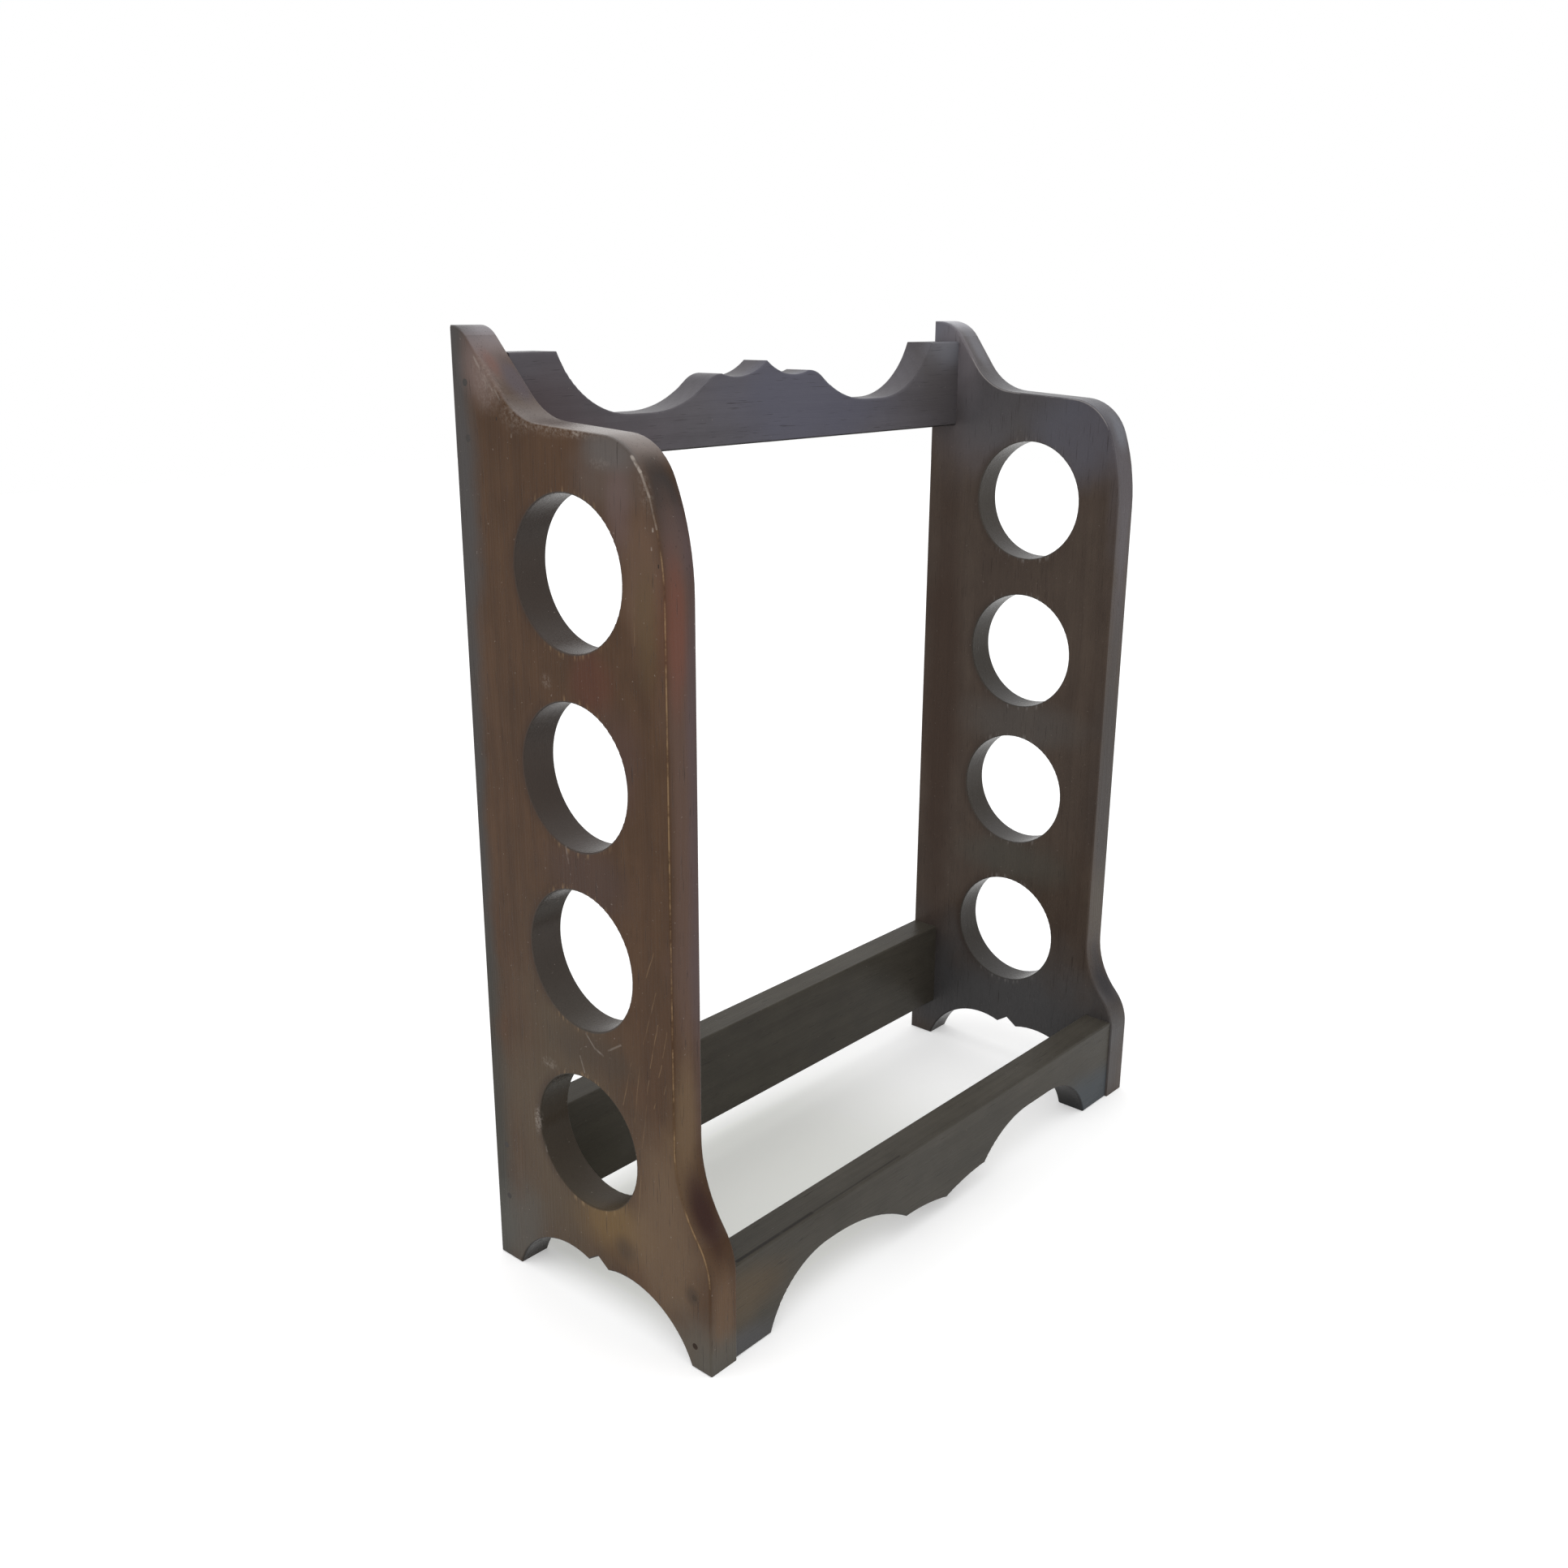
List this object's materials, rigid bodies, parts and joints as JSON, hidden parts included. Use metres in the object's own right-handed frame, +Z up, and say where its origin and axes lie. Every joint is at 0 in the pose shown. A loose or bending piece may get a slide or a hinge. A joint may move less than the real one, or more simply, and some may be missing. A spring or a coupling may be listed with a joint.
{
  "type": "pierced-end wooden rack",
  "caption": "Free-standing rack of dark stained boards: pierced end boards joined by a shaped crest, a plain back rail and a shaped apron, holding round things laid across through facing holes.",
  "frame": {"origin": "on the floor, under the middle of the rack's overall box", "axes": "+X along the rails to the right end board, +Y to the rear edges, +Z up"},
  "size_m": [0.398, 0.16, 0.49],
  "materials": {
    "stained_wood": "dark brown stain under a worn satin varnish",
    "nail_steel": "plain drawn steel",
    "wood_filler": "dark matt filler, sanded flush"
  },
  "bodies": {
    "root": {"left_end_board": "stained_wood", "right_end_board": "stained_wood", "crest_rail": "stained_wood", "back_rail": "stained_wood", "front_apron": "stained_wood", "left_crest_rail_nail_lower": "nail_steel", "left_crest_rail_nail_upper": "nail_steel", "right_crest_rail_nail_lower": "nail_steel", "right_crest_rail_nail_upper": "nail_steel", "left_back_rail_nail_lower": "nail_steel", "left_back_rail_nail_upper": "nail_steel", "right_back_rail_nail_lower": "nail_steel", "right_back_rail_nail_upper": "nail_steel", "left_front_apron_nail_lower": "nail_steel", "left_front_apron_nail_upper": "nail_steel", "right_front_apron_nail_lower": "nail_steel", "right_front_apron_nail_upper": "nail_steel", "left_crest_rail_filler_lower": "wood_filler", "left_crest_rail_filler_upper": "wood_filler", "right_crest_rail_filler_lower": "wood_filler", "right_crest_rail_filler_upper": "wood_filler", "left_back_rail_filler_lower": "wood_filler", "left_back_rail_filler_upper": "wood_filler", "right_back_rail_filler_lower": "wood_filler", "right_back_rail_filler_upper": "wood_filler", "left_front_apron_filler_lower": "wood_filler", "left_front_apron_filler_upper": "wood_filler", "right_front_apron_filler_lower": "wood_filler", "right_front_apron_filler_upper": "wood_filler"}
  },
  "joints": []
}
